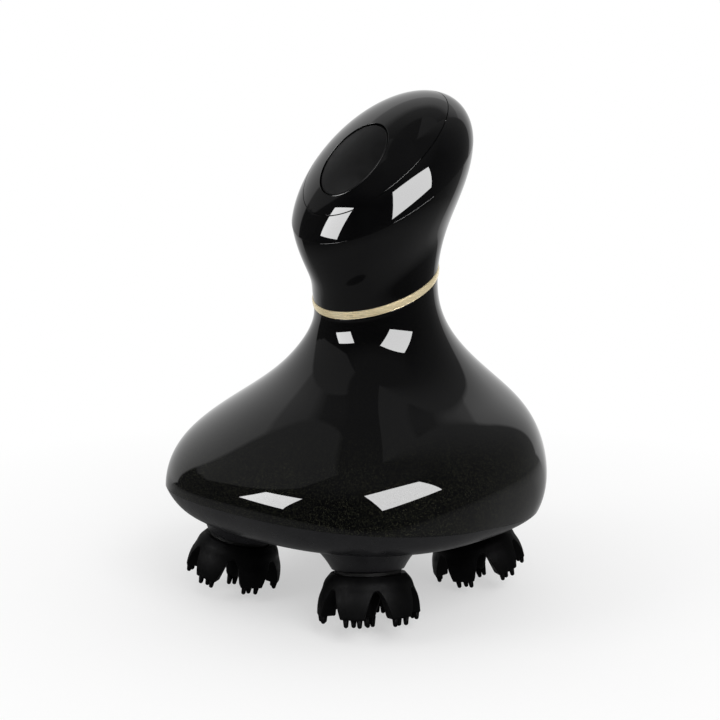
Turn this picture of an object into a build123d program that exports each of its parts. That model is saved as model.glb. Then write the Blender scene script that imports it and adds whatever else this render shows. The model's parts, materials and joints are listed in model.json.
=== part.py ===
from build123d import *
import math
import os

os.makedirs("parts", exist_ok=True)

# Electric scalp massager, millimetres, +Z up, front towards -Y.
# The origin lies on the resting surface, under the middle of the housing.

# ---------------------------------------------------------------- housing outline
# Each station is a closed outline across the body, from its front point to its back point:
# front y, front z, back y, back z, half width, squareness (2 is an ellipse).
RIM = (-53.5, 34.5, 48.5, 24.0, 54.0, 2.45)
BODY_STATIONS = [
    RIM,
    (-52.0, 38.0, 53.5, 32.5, 55.0, 2.4),
    (-46.0, 44.5, 51.0, 50.0, 53.0, 2.3),
    (-29.5, 58.0, 47.0, 62.0, 39.5, 2.15),
    (-15.0, 69.5, 33.0, 77.5, 24.5, 2.0),
    (-9.2, 80.0, 27.0, 90.5, 19.6, 2.0),
    (-9.6, 85.5, 27.0, 101.5, 19.4, 2.0),
    (-12.0, 92.2, 34.6, 119.2, 20.5, 2.0),
    (-15.7, 101.0, 40.8, 136.2, 25.0, 2.0),
]
RING_STATION = BODY_STATIONS[6]
TRAY_STATIONS = [
    RIM,
    (-50.5, 29.0, 46.5, 23.5, 51.5, 2.45),
    (-43.0, 24.8, 40.0, 23.0, 45.0, 2.4),
]
BOSS_LIMIT_FOOT = (-50.5, 10.0, 46.5, 10.0, 51.5, 2.45)
BOSS_LIMIT_INSET = 1.0
OUTLINE_POINTS = 24
WALL = 2.2
SEAL_HEIGHT = 0.5
SEAL_INSET = 0.5
SEAL_WIDTH = 1.2
# Cutting solids run this far past a surface, and right through the housing.
CUT_MARGIN = 1.0
THROUGH = 40.0
POST_ROOT = 1.0

# ---------------------------------------------------------------- head
# The head is an ellipsoid; the cover parts from the handle on a plane across it.
HEAD_CENTRE = (11.9, 122.5)
HEAD_TILT = 43.5
HEAD_HALF_LENGTH = 36.9
HEAD_HALF_WIDTH = 26.2
HEAD_HALF_DEPTH = 15.5
PARTING_CENTRE = (11.7, 124.0)
PARTING_TILT = 32.8
PANEL_CENTRE = (8.8, 132.2)
PANEL_TILT = 37.0
PANEL_HALF_WIDTH = 20.3
PANEL_HALF_LENGTH = 29.6
PANEL_THICKNESS = 1.8
PANEL_GAP = 0.15
PANEL_SEAT_GAP = 0.1
PLUG_ABOVE = 20.0
PLUG_BELOW = 14.0
SEAT_THICKNESS = 2.0
SEAT_LAP = 2.0
PARTING_GAP = 0.3
PARTING_GROOVE = 0.5

BUTTON_CENTRE = (-1.3, 129.4)
BUTTON_TILT = 48.5
BUTTON_HALF_WIDTH = 10.0
BUTTON_HALF_LENGTH = 13.9
BUTTON_GAP = 0.2
BUTTON_SINK = 0.25
BUTTON_THICKNESS = 1.8
BUTTON_TRAVEL = 0.8
FLANGE_LAP = 1.0
FLANGE_THICKNESS = 1.0
STEM_RADIUS = 2.5
STEM_LENGTH = 2.0
STEM_ROOT = 1.0
PLUNGER_RADIUS = 1.6
PLUNGER_RISE = 1.2
PLUNGER_SEAT = 1.0
SWITCH_SIDE = 6.2
SWITCH_HEIGHT = 3.4
BOARD_WIDTH = 20.0
BOARD_LENGTH = 41.0
BOARD_THICKNESS = 1.2
BOARD_CORNER = 2.0
BOARD_SCREW_SPACING = 36.0
BOARD_POST_RADIUS = 2.2
BOARD_SCREW_BITE = 4.0
SMALL_SCREW_RADIUS = 1.0
SMALL_SCREW_HEAD = 1.9
SMALL_SCREW_HEAD_HEIGHT = 0.9

# ---------------------------------------------------------------- neck ring
RING_HEIGHT = 2.3
RING_PROUD = 0.15

# ---------------------------------------------------------------- claws
SPLAY = 12.0
CLAW_NAMES = ["back_right", "back_left", "front_left", "front_right"]
TIP_CENTRE_RADIUS = 38.5
TIP_DROP = 14.6
TIP_RADIUS = 13.2
FINGERS = 6
FINGER_PHASE = 45.0
FINGER_END = 12.4
CLAW_MOUTH_RADIUS = 14.0
CLAW_TOP_RADIUS = 10.2
CLAW_SHOULDER = (1.2, 4.2)
CLAW_BELLY = (0.0, 9.0)
CLAW_RIM_INSET = 0.2
CLAW_CAVITY_RADIUS = 10.7
CLAW_CAVITY_TOP = 5.4
CAVITY_SHOULDER = (0.6, 3.0)
CAVITY_CROWN_INSET = 3.2
ARCH_TOP = 5.9
ARCH_RADIUS = 2.6
ARCH_MOUTH = 4.0
ARCH_ROOT_GAP = 1.0
MIDDLE_FINGER_EXTRA = 1.9
MIDDLE_FINGER_RADIUS = 4.2
MIDDLE_FINGER_END_RADIUS = 2.9
MIDDLE_FINGER_ROOT = 1.0
NUB_RADIUS = 0.8
NUB_TIP_RADIUS = 0.6
NUB_LENGTH = 2.2
NUB_ROOT = 0.5
NUB_SPREAD = 1.35
NUB_STEP_IN = 2.3

COLLAR_GAP = 0.3
COLLAR_THICKNESS = 0.9
COLLAR_RADIUS = 9.3
CORE_RADIUS = 6.0
CORE_DEPTH = 3.4
CORE_FLANGE_RADIUS = 7.6
CORE_FLANGE_THICKNESS = 1.0
SPINDLE_RADIUS = 2.5
RUNNING_FIT = 0.05

# ---------------------------------------------------------------- claw bearings
BOSS_FACE_RADIUS = 10.2
BOSS_WAIST_RADIUS = 13.2
BOSS_WAIST_HEIGHT = 4.3
BOSS_FLARE_RADIUS = 24.0
BOSS_FLARE_HEIGHT = 11.0
BOSS_RISER_RADIUS = 6.5
SEAL_DEPTH = 1.5
SHAFT_SEAL_RADIUS = 5.5
BUSH_RADIUS = 4.0
BUSH_FLANGE_RADIUS = 5.5
BUSH_FLANGE = 0.8
CLIP_RADIUS = 4.2
CLIP_THICKNESS = 0.6
SPINDLE_TAIL = 0.8
SPINDLE_FOOT = -4.0
CLAW_END_PLAY = 0.15
CLAW_HUB_RADIUS = 4.5
CLAW_HUB_LENGTH = 1.6

# ---------------------------------------------------------------- gear train
SUN_TEETH = 32
CLAW_TEETH = 20
SUN_LEVEL = 31.0
GEAR_FACE = 5.0
ADDENDUM = 0.9
DEDENDUM = 1.15
BACKLASH = 0.2
CLAW_PRESSURE_ANGLE = 20.0
SPUR_PRESSURE_ANGLE = 25.0
GEAR_CENTRES = 18.0
WHEEL_TEETH = 36
SECOND_PINION_TEETH = 12
FIRST_WHEEL_TEETH = 48
MOTOR_PINION_TEETH = 12
WHEEL_FACE = 3.0
FIRST_WHEEL_FACE = 2.6
MOTOR_PINION_FACE = 3.0
MOTOR_PINION_DROP = 0.1
STACK_GAP = 0.8
DRIVE_PIN_RADIUS = 2.0
DRIVE_PIN_RECESS = 0.1
IDLER_PLAY = 0.15
IDLER_PIN_RADIUS = 1.5
IDLER_PIN_HEAD = 0.5
IDLER_PIN_HEAD_RADIUS = 2.4
HUB_RADIUS = 5.0
THRUST_GAP = 0.3
DRIVE_NECK_RADIUS = 12.0
DRIVE_NECK_HEIGHT = 1.0
FLOOR_LEVEL = 26.5

# ---------------------------------------------------------------- gear plate and motor
PLATE_THICKNESS = 2.0
PLATE_CLEARANCE = 1.1
PLATE_RADIUS = 24.0
PLATE_ARM_WIDTH = 9.0
POST_RADIUS = 3.5
SIDE_POST_REACH = 40.0
END_POST_REACH = 33.0
SCREW_RADIUS = 1.5
SCREW_HEAD_RADIUS = 2.8
SCREW_HEAD = 1.8
SCREW_HEAD_GAP = 0.2
SCREW_BITE = 8.0
HOUSING_SCREW_X = 41.0
HOUSING_SCREW_Y = 15.0
HOUSING_JOIN_LEVEL = 31.0
HOUSING_SCREW_SEAT = 1.5
MOTOR_RADIUS = 12.2
MOTOR_LENGTH = 20.0
MOTOR_BOSS_RADIUS = 3.5
MOTOR_BOSS_RECESS = 0.3
MOTOR_CAP_RADIUS = 5.0
MOTOR_CAP_HEIGHT = 1.5
MOTOR_SHAFT_RADIUS = 1.0
MOTOR_SHAFT_DEPTH = 15.0
MOTOR_SHAFT_END_GAP = 0.2
MOTOR_SHAFT_CLEARANCE = 0.5
MOTOR_SCREW_OFFSET = 8.0
MOTOR_SCREW_BITE = 3.0

# ---------------------------------------------------------------- battery
CELL_RADIUS = 9.0
CELL_LENGTH = 49.5
CELL_Y = 13.0
CELL_TERMINAL = 1.0
CELL_TERMINAL_RADIUS = 3.0
CELL_BASE = 67.5
CRADLE_WALL = 1.5
CRADLE_SHELF_LEVEL = 78.0
CRADLE_SHELF_THICKNESS = 2.0
CRADLE_TOP = 100.0
CRADLE_WINDOW_DEPTH = 20.0

# ---------------------------------------------------------------- charging socket
SOCKET_LEVEL = 47.0
SOCKET_WIDTH = 9.0
SOCKET_HEIGHT = 3.3
SOCKET_DEPTH = 7.3
SOCKET_WALL = 0.35
SOCKET_BACK = 0.8
SOCKET_SETBACK = 4.3
CHARGE_BOARD_WIDTH = 16.0
CHARGE_BOARD_DEPTH = 11.0
CHARGE_BOARD_THICKNESS = 1.0
CHARGE_BOARD_SETBACK = 1.5
PLUG_HALF_WIDTH = 7.5
PLUG_HALF_HEIGHT = 4.0
PLUG_HEAD = 1.4
PLUG_GAP = 0.15
PLUG_TONGUE = 2.5
PLUG_HOLE_DEPTH = 2.0
SOCKET_TONGUE = 4.5
SOCKET_TONGUE_WIDTH = 6.0
SOCKET_TONGUE_HEIGHT = 0.7
RIB_OFFSET = 6.5
RIB_WIDTH = 2.0
RIB_HEIGHT = 2.0

CLAW_ANGLES = [45.0 + 90.0 * index for index in range(4)]


def sin(degrees):
    return math.sin(math.radians(degrees))


def cos(degrees):
    return math.cos(math.radians(degrees))


def tan(degrees):
    return math.tan(math.radians(degrees))


def tilted_plane(centre, tilt):
    """Plane across the body: its y axis climbs to the back by the tilt, its z axis points out."""
    return Plane(origin=(0, centre[0], centre[1]), x_dir=(1, 0, 0), z_dir=(0, -sin(tilt), cos(tilt)))


def station_plane(station):
    front_y, front_z, back_y, back_z = station[:4]
    tilt = math.degrees(math.atan2(back_z - front_z, back_y - front_y))
    return tilted_plane(((front_y + back_y) / 2, (front_z + back_z) / 2), tilt)


def station_face(station, inset=0.0):
    """Outline of a station as a face, drawn in by the inset on every side."""
    front_y, front_z, back_y, back_z, half_width, squareness = station
    half_depth = math.hypot(back_y - front_y, back_z - front_z) / 2 - inset
    points = []
    for index in range(OUTLINE_POINTS):
        angle = 360.0 * index / OUTLINE_POINTS
        across = cos(angle)
        along = sin(angle)
        reach = (abs(across) ** squareness + abs(along) ** squareness) ** (-1.0 / squareness)
        points.append(((half_width - inset) * across * reach, half_depth * along * reach))
    return station_plane(station) * make_face(Spline(*points, periodic=True))


def body_form(stations, inset=0.0):
    return loft([station_face(station, inset) for station in stations])


def above(shape, plane):
    return split(shape, bisect_by=plane, keep=Keep.TOP)


def below(shape, plane):
    return split(shape, bisect_by=plane, keep=Keep.BOTTOM)


def column(x, y, radius, bottom, top):
    return Pos(x, y, bottom) * extrude(Circle(radius), top - bottom)


def tube(outer, inner, height):
    return extrude(Circle(outer) - Circle(inner), height)


def head_form(inset=0.0):
    halves = (HEAD_HALF_WIDTH - inset, HEAD_HALF_LENGTH - inset, HEAD_HALF_DEPTH - inset)
    return Pos(0, *HEAD_CENTRE) * Rot(X=HEAD_TILT) * scale(Sphere(1), by=halves)


def parting_station():
    """Outline that the parting plane cuts from the head, as a station of the body."""
    turn = PARTING_TILT - HEAD_TILT
    offset_y = PARTING_CENTRE[0] - HEAD_CENTRE[0]
    offset_z = PARTING_CENTRE[1] - HEAD_CENTRE[1]
    start = (
        (offset_y * cos(HEAD_TILT) + offset_z * sin(HEAD_TILT)) / HEAD_HALF_LENGTH,
        (offset_z * cos(HEAD_TILT) - offset_y * sin(HEAD_TILT)) / HEAD_HALF_DEPTH,
    )
    step = (cos(turn) / HEAD_HALF_LENGTH, sin(turn) / HEAD_HALF_DEPTH)
    step_square = step[0] ** 2 + step[1] ** 2
    along = start[0] * step[0] + start[1] * step[1]
    across = start[0] * step[1] - start[1] * step[0]
    reach = math.sqrt(step_square - across ** 2) / step_square
    middle = -along / step_square
    ends = []
    for distance in (middle - reach, middle + reach):
        ends.append(PARTING_CENTRE[0] + distance * cos(PARTING_TILT))
        ends.append(PARTING_CENTRE[1] + distance * sin(PARTING_TILT))
    half_width = HEAD_HALF_WIDTH * math.sqrt(1 - across ** 2 / step_square)
    return (*ends, half_width, 2.0)


def oval_plug(centre, tilt, half_width, half_length):
    """Oval column through the upper side of the head."""
    face = tilted_plane(centre, tilt) * Ellipse(half_width, half_length)
    return extrude(face, PLUG_ABOVE) + extrude(face, -PLUG_BELOW)


def gear_outline(teeth, module, pressure_angle, phase=0.0, clearance=BACKLASH):
    """Polygon of a gear with straight flanks laid inside the involute."""
    pitch_radius = module * teeth / 2
    base_radius = pitch_radius * cos(pressure_angle)
    tip_radius = pitch_radius + ADDENDUM * module
    root_radius = pitch_radius - DEDENDUM * module
    involute = tan(pressure_angle) - math.radians(pressure_angle)

    def half_angle(radius):
        angle = math.acos(min(1.0, base_radius / radius))
        thickness = math.pi / (2 * teeth) + involute - (math.tan(angle) - angle)
        return math.degrees(thickness - clearance / (4 * pitch_radius))

    root_half = half_angle(root_radius)
    tip_half = half_angle(tip_radius)
    points = []
    for tooth in range(teeth):
        middle = phase + 360.0 * tooth / teeth
        corners = [
            (root_radius, -root_half),
            (tip_radius, -tip_half),
            (tip_radius, tip_half),
            (root_radius, root_half),
        ]
        for radius, offset in corners:
            points.append((radius * cos(middle + offset), radius * sin(middle + offset)))
    return Polygon(*points, align=None)


# ---------------------------------------------------------------- derived geometry
PARTING_STATION = parting_station()
BODY_STATIONS.append(PARTING_STATION)

# The claw axes lean out and meet the centre line at one point, the apex of the gear cones.
NUB_REACH = TIP_RADIUS + NUB_TIP_RADIUS
BOSS_FACE_LEVEL = TIP_DROP * cos(SPLAY) + NUB_REACH * sin(SPLAY)
BOSS_FACE_REACH = TIP_CENTRE_RADIUS - TIP_DROP * sin(SPLAY)
CONE_APEX = BOSS_FACE_LEVEL + BOSS_FACE_REACH / tan(SPLAY)
TOOTH_RATIO = SUN_TEETH / CLAW_TEETH
CLAW_CONE = math.degrees(math.atan2(sin(SPLAY), TOOTH_RATIO + cos(SPLAY)))
SUN_CONE = SPLAY - CLAW_CONE
CONE_DISTANCE = (CONE_APEX - SUN_LEVEL) / cos(SUN_CONE)
BEVEL_MODULE = 2 * CONE_DISTANCE * sin(SUN_CONE) / SUN_TEETH
CLAW_GEAR_HEIGHT = BOSS_FACE_REACH / sin(SPLAY) - CONE_DISTANCE * cos(CLAW_CONE)

SUN_TOP = SUN_LEVEL + GEAR_FACE / 2
SUN_BOTTOM = SUN_LEVEL - GEAR_FACE / 2
WHEEL_BOTTOM = SUN_TOP + DRIVE_NECK_HEIGHT
WHEEL_TOP = WHEEL_BOTTOM + WHEEL_FACE
FIRST_WHEEL_BOTTOM = WHEEL_TOP + STACK_GAP
FIRST_WHEEL_TOP = FIRST_WHEEL_BOTTOM + FIRST_WHEEL_FACE
PLATE_BOTTOM = FIRST_WHEEL_TOP + PLATE_CLEARANCE
PLATE_TOP = PLATE_BOTTOM + PLATE_THICKNESS
CLAW_HUB_BOTTOM = CLAW_GEAR_HEIGHT - GEAR_FACE / 2 - CLAW_HUB_LENGTH
BOSS_TOP = CLAW_HUB_BOTTOM - CLAW_END_PLAY - BUSH_FLANGE
CLIP_LEVEL = CLAW_GEAR_HEIGHT + GEAR_FACE / 2
SPINDLE_TOP = CLIP_LEVEL + CLIP_THICKNESS + SPINDLE_TAIL
MIDDLE_FINGER_END = TIP_DROP + MIDDLE_FINGER_EXTRA - NUB_LENGTH
CHARGE_BOARD_BOTTOM = SOCKET_LEVEL - SOCKET_HEIGHT / 2 - CHARGE_BOARD_THICKNESS
SOCKET_MOUTH_Y = BODY_STATIONS[1][2] - SOCKET_SETBACK
STEM_DEPTH = BUTTON_THICKNESS + STEM_LENGTH
HOUSING_SCREW_LEVEL = FLOOR_LEVEL + HOUSING_SCREW_SEAT
BOARD_DEPTH = STEM_DEPTH + PLUNGER_RISE + SWITCH_HEIGHT
MOTOR_SHAFT_FOOT = WHEEL_TOP + MOTOR_SHAFT_CLEARANCE
WHEEL_MODULE = 2 * GEAR_CENTRES / (WHEEL_TEETH + SECOND_PINION_TEETH)
MOTOR_SHAFT_TOP = PLATE_TOP + MOTOR_SHAFT_DEPTH
FIRST_MODULE = 2 * GEAR_CENTRES / (FIRST_WHEEL_TEETH + MOTOR_PINION_TEETH)


def claw_location(angle):
    """Frame of one claw: its origin on the boss face, z up its axis, x away from the centre."""
    outward = (cos(angle), sin(angle), 0)
    axis = (-sin(SPLAY) * cos(angle), -sin(SPLAY) * sin(angle), cos(SPLAY))
    origin = (BOSS_FACE_REACH * outward[0], BOSS_FACE_REACH * outward[1], BOSS_FACE_LEVEL)
    x_dir = (cos(SPLAY) * cos(angle), cos(SPLAY) * sin(angle), sin(SPLAY))
    return Plane(origin=origin, x_dir=x_dir, z_dir=axis).location


CLAW_PLACES = [claw_location(angle) for angle in CLAW_ANGLES]


# ---------------------------------------------------------------- housing shells
def ring_planes():
    top = station_plane(RING_STATION)
    return top.offset(-RING_HEIGHT), top


def boss_form():
    """Trumpet that carries one claw bearing and flares into the tray's underside."""
    brim = (BOSS_FLARE_RADIUS, BOSS_FLARE_HEIGHT)
    profile = make_face(
        [
            Line((0, 0), (BOSS_FACE_RADIUS, 0)),
            ThreePointArc((BOSS_FACE_RADIUS, 0), (BOSS_WAIST_RADIUS, BOSS_WAIST_HEIGHT), brim),
            Line(brim, (BOSS_FLARE_RADIUS, 2 * BOSS_FLARE_HEIGHT)),
            Line((BOSS_FLARE_RADIUS, 2 * BOSS_FLARE_HEIGHT), (0, 2 * BOSS_FLARE_HEIGHT)),
            Line((0, 2 * BOSS_FLARE_HEIGHT), (0, 0)),
        ]
    )
    return revolve(Plane.XZ * profile, Axis.Z)


def boss_bore():
    seal_seat = extrude(Circle(SHAFT_SEAL_RADIUS), SEAL_DEPTH)
    bush_seat = extrude(Circle(BUSH_RADIUS), BOSS_TOP)
    return seal_seat + bush_seat


def make_lower_housing():
    floor = Plane.XY.offset(FLOOR_LEVEL)
    tray = body_form(TRAY_STATIONS)
    boss_limit = body_form([RIM, BOSS_LIMIT_FOOT], BOSS_LIMIT_INSET)
    for place in CLAW_PLACES:
        tray += below((place * boss_form()) & boss_limit, floor)
    tray -= above(body_form(TRAY_STATIONS, WALL), floor)
    for place in CLAW_PLACES:
        tray += place * extrude(Circle(BOSS_RISER_RADIUS), BOSS_TOP)
    tray += column(0, 0, HUB_RADIUS, FLOOR_LEVEL - POST_ROOT, SUN_BOTTOM - THRUST_GAP)
    for x, y in plate_post_places():
        tray += column(x, y, POST_RADIUS, FLOOR_LEVEL - POST_ROOT, PLATE_BOTTOM)
    for x, y in housing_screw_places():
        tray += column(x, y, POST_RADIUS, FLOOR_LEVEL - POST_ROOT, HOUSING_JOIN_LEVEL)
    for place in CLAW_PLACES:
        tray -= place * boss_bore()
    for x, y in plate_post_places():
        tray -= column(x, y, SCREW_RADIUS, PLATE_BOTTOM - SCREW_BITE, PLATE_BOTTOM)
    for x, y in housing_screw_places():
        tray -= column(x, y, SCREW_RADIUS, 0, HOUSING_JOIN_LEVEL)
        tray -= column(x, y, SCREW_HEAD_RADIUS + SCREW_HEAD_GAP, 0, HOUSING_SCREW_LEVEL)
    return tray - column(0, 0, DRIVE_PIN_RADIUS, FLOOR_LEVEL - POST_ROOT, SUN_BOTTOM)


def plate_post_places():
    return [(SIDE_POST_REACH, 0), (0, END_POST_REACH), (-SIDE_POST_REACH, 0), (0, -END_POST_REACH)]


def housing_screw_places():
    sides = (-1, 1)
    return [(x * HOUSING_SCREW_X, y * HOUSING_SCREW_Y) for x in sides for y in sides]


BODY_OUTSIDE = body_form(BODY_STATIONS)
BODY_INSIDE = body_form(BODY_STATIONS, WALL)
BODY_PROUD = body_form(BODY_STATIONS, -RING_PROUD)
PARTING_PLANE = station_plane(PARTING_STATION)
LOW_RING_PLANE, HIGH_RING_PLANE = ring_planes()


def stadium_prism(half_width, half_height, start_y, length):
    """Flat-sided oval bar along Y at the socket's level."""
    face = SlotOverall(2 * half_width, 2 * half_height)
    plane = Plane(origin=(0, start_y, SOCKET_LEVEL), x_dir=(-1, 0, 0), z_dir=(0, 1, 0))
    return extrude(plane * face, length)


def plug_recess(gap):
    """Oval seat of the charging plug in the skin of the housing."""
    skin = BODY_OUTSIDE - body_form(BODY_STATIONS, PLUG_HEAD + gap)
    half = (PLUG_HALF_WIDTH + gap, PLUG_HALF_HEIGHT + gap)
    return skin & stadium_prism(*half, SOCKET_MOUTH_Y - PLUG_HOLE_DEPTH, THROUGH)


def make_upper_housing():
    shell = below(BODY_OUTSIDE - BODY_INSIDE, LOW_RING_PLANE)
    for x, y in housing_screw_places():
        shell += column(x, y, POST_RADIUS, HOUSING_JOIN_LEVEL, HOUSING_JOIN_LEVEL + THROUGH) & BODY_OUTSIDE
    for side in (-1, 1):
        rib = Pos(side * RIB_OFFSET, SOCKET_MOUTH_Y - CHARGE_BOARD_DEPTH, CHARGE_BOARD_BOTTOM - RIB_HEIGHT)
        block = rib * Box(RIB_WIDTH, THROUGH, RIB_HEIGHT, align=(Align.CENTER, Align.MIN, Align.MIN))
        shell += block & BODY_OUTSIDE
    for x, y in housing_screw_places():
        shell -= column(x, y, SCREW_RADIUS, HOUSING_JOIN_LEVEL, HOUSING_JOIN_LEVEL + SCREW_BITE)
    seam = station_face(RIM, -CUT_MARGIN) - station_face(RIM, SEAL_INSET + SEAL_WIDTH)
    shell -= extrude(seam, SEAL_HEIGHT, dir=station_plane(RIM).z_dir)
    shell -= plug_recess(PLUG_GAP)
    mouth = (SOCKET_WIDTH / 2 + PLUG_GAP, SOCKET_HEIGHT / 2 + PLUG_GAP)
    return shell - stadium_prism(*mouth, SOCKET_MOUTH_Y - PLUG_HOLE_DEPTH, THROUGH)


def make_housing_seal():
    band = station_face(RIM, SEAL_INSET) - station_face(RIM, SEAL_INSET + SEAL_WIDTH)
    return extrude(band, SEAL_HEIGHT, dir=station_plane(RIM).z_dir)


def make_neck_ring():
    return above(below(BODY_PROUD - BODY_INSIDE, HIGH_RING_PLANE), LOW_RING_PLANE)


def make_handle_housing():
    shell = above(BODY_OUTSIDE - BODY_INSIDE, HIGH_RING_PLANE)
    outside = station_face(PARTING_STATION, -CUT_MARGIN)
    groove = outside - station_face(PARTING_STATION, PARTING_GROOVE)
    return shell - extrude(groove, PARTING_GAP, dir=-PARTING_PLANE.z_dir)


# ---------------------------------------------------------------- head
def panel_plug(extra=0.0):
    return oval_plug(PANEL_CENTRE, PANEL_TILT, PANEL_HALF_WIDTH + extra, PANEL_HALF_LENGTH + extra)


def button_plug(extra=0.0):
    return oval_plug(BUTTON_CENTRE, BUTTON_TILT, BUTTON_HALF_WIDTH + extra, BUTTON_HALF_LENGTH + extra)


def button_level(depth):
    """Plane across the button's travel, this far below its outline."""
    return tilted_plane(BUTTON_CENTRE, BUTTON_TILT).offset(-depth)


def make_head_cover():
    seat_top = PANEL_THICKNESS + PANEL_SEAT_GAP
    cover = head_form() - head_form(WALL)
    cover += (head_form(seat_top) - head_form(seat_top + SEAT_THICKNESS)) & panel_plug(SEAT_LAP)
    cover -= (head_form(-CUT_MARGIN) - head_form(seat_top)) & panel_plug(PANEL_GAP)
    for along in (-BOARD_SCREW_SPACING / 2, BOARD_SCREW_SPACING / 2):
        post = button_level(BOARD_DEPTH) * Pos(0, along, 0) * extrude(Circle(BOARD_POST_RADIUS), THROUGH)
        cover += post & head_form(seat_top + SEAT_THICKNESS / 2)
    cover -= button_plug(FLANGE_LAP + BUTTON_GAP)
    for along in (-BOARD_SCREW_SPACING / 2, BOARD_SCREW_SPACING / 2):
        hole = extrude(Circle(SMALL_SCREW_RADIUS), BOARD_SCREW_BITE)
        cover -= button_level(BOARD_DEPTH) * Pos(0, along, 0) * hole
    return above(cover, PARTING_PLANE)


def make_top_panel():
    panel = (head_form() - head_form(PANEL_THICKNESS)) & panel_plug()
    return above(panel - button_plug(BUTTON_GAP), PARTING_PLANE)


def make_button_cap():
    underside = BUTTON_SINK + BUTTON_THICKNESS
    cap = (head_form(BUTTON_SINK) - head_form(underside)) & button_plug()
    cap += (head_form(underside) - head_form(underside + FLANGE_THICKNESS)) & button_plug(FLANGE_LAP)
    stem = button_level(STEM_DEPTH) * extrude(Circle(STEM_RADIUS), THROUGH)
    return above(cap, PARTING_PLANE) + (stem & head_form(underside - STEM_ROOT))


def make_switch_plunger():
    length = PLUNGER_RISE + PLUNGER_SEAT - RUNNING_FIT
    return button_level(STEM_DEPTH) * extrude(Circle(PLUNGER_RADIUS), -length)


def make_button_switch():
    body = Box(SWITCH_SIDE, SWITCH_SIDE, SWITCH_HEIGHT, align=(Align.CENTER, Align.CENTER, Align.MIN))
    well = extrude(Circle(PLUNGER_RADIUS + RUNNING_FIT), -PLUNGER_SEAT - BUTTON_TRAVEL)
    return button_level(BOARD_DEPTH) * (body - Pos(0, 0, SWITCH_HEIGHT) * well)


def make_control_board():
    board = extrude(RectangleRounded(BOARD_WIDTH, BOARD_LENGTH, BOARD_CORNER), -BOARD_THICKNESS)
    for along in (-BOARD_SCREW_SPACING / 2, BOARD_SCREW_SPACING / 2):
        board -= Pos(0, along, 0) * extrude(Circle(SMALL_SCREW_RADIUS), -BOARD_THICKNESS)
    return button_level(BOARD_DEPTH) * board


def small_screw(bite):
    """Screw along Z: its head's underside is at zero and its shank points up."""
    head = extrude(Circle(SMALL_SCREW_HEAD), -SMALL_SCREW_HEAD_HEIGHT)
    return extrude(Circle(SMALL_SCREW_RADIUS), bite) + head


def make_board_screws():
    screws = []
    for along in (-BOARD_SCREW_SPACING / 2, BOARD_SCREW_SPACING / 2):
        screw = small_screw(BOARD_THICKNESS + BOARD_SCREW_BITE)
        screws.append(button_level(BOARD_DEPTH + BOARD_THICKNESS) * Pos(0, along, 0) * screw)
    return group(screws)


# ---------------------------------------------------------------- claws
def claw_profile():
    """Half section of the rubber cup: a domed wall that opens downwards."""
    top = -COLLAR_GAP - COLLAR_THICKNESS
    rim = -FINGER_END
    swell = [(CLAW_MOUTH_RADIUS - inset, top - drop) for inset, drop in (CLAW_SHOULDER, CLAW_BELLY)]
    outer = Spline((CLAW_TOP_RADIUS, top), *swell, (CLAW_MOUTH_RADIUS - CLAW_RIM_INSET, rim))
    shoulder_inset, shoulder_drop = CAVITY_SHOULDER
    inner = Spline(
        (CLAW_CAVITY_RADIUS, rim),
        (CLAW_CAVITY_RADIUS - shoulder_inset, -CLAW_CAVITY_TOP - shoulder_drop),
        (CLAW_CAVITY_RADIUS - CAVITY_CROWN_INSET, -CLAW_CAVITY_TOP),
    )
    return make_face(
        [
            outer,
            Line(outer @ 1, inner @ 0),
            inner,
            Line(inner @ 1, (0, -CLAW_CAVITY_TOP)),
            Line((0, -CLAW_CAVITY_TOP), (0, top)),
            Line((0, top), outer @ 0),
        ]
    )


def arch_cut(angle):
    """Gap between two fingers: an arch that widens to the tips."""
    crown = -ARCH_TOP - ARCH_RADIUS
    crown_corners = [(-ARCH_RADIUS, crown), (ARCH_RADIUS, crown)]
    mouth_corners = [(ARCH_MOUTH, -TIP_DROP), (-ARCH_MOUTH, -TIP_DROP)]
    leg = make_face(Polyline(*crown_corners, *mouth_corners, close=True))
    face = leg + Pos(0, crown) * Circle(ARCH_RADIUS)
    inner_reach = MIDDLE_FINGER_RADIUS + ARCH_ROOT_GAP
    return Rot(Z=angle - 90) * (Plane.XZ.offset(-inner_reach) * extrude(face, -CLAW_MOUTH_RADIUS))


def nub(radius, angle, side, end):
    """Soft point below a finger, a little thinner at its tip."""
    height = NUB_LENGTH + NUB_ROOT
    cone = Cone(NUB_TIP_RADIUS, NUB_RADIUS, height, align=(Align.CENTER, Align.CENTER, Align.MIN))
    return Rot(Z=angle) * Pos(radius, side, -end) * cone


def make_claw(phase):
    cup = revolve(Plane.XZ * claw_profile(), Axis.Z)
    for finger in range(FINGERS):
        cup -= arch_cut(phase + 360.0 * (finger + 0.5) / FINGERS)
    length = MIDDLE_FINGER_END - CLAW_CAVITY_TOP
    middle = Cone(
        MIDDLE_FINGER_END_RADIUS,
        MIDDLE_FINGER_RADIUS,
        length + MIDDLE_FINGER_ROOT,
        align=(Align.CENTER, Align.CENTER, Align.MIN),
    )
    cup += Pos(0, 0, -MIDDLE_FINGER_END) * middle
    for finger in range(FINGERS):
        angle = phase + 360.0 * finger / FINGERS
        for side in (-NUB_SPREAD, NUB_SPREAD):
            cup += nub(TIP_RADIUS, angle, side, TIP_DROP)
        cup += nub(TIP_RADIUS - NUB_STEP_IN, angle, 0, TIP_DROP)
    for turn in range(3):
        cup += nub(NUB_SPREAD, phase + 120.0 * turn, 0, TIP_DROP + MIDDLE_FINGER_EXTRA)
    return cup - core_form()


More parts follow.
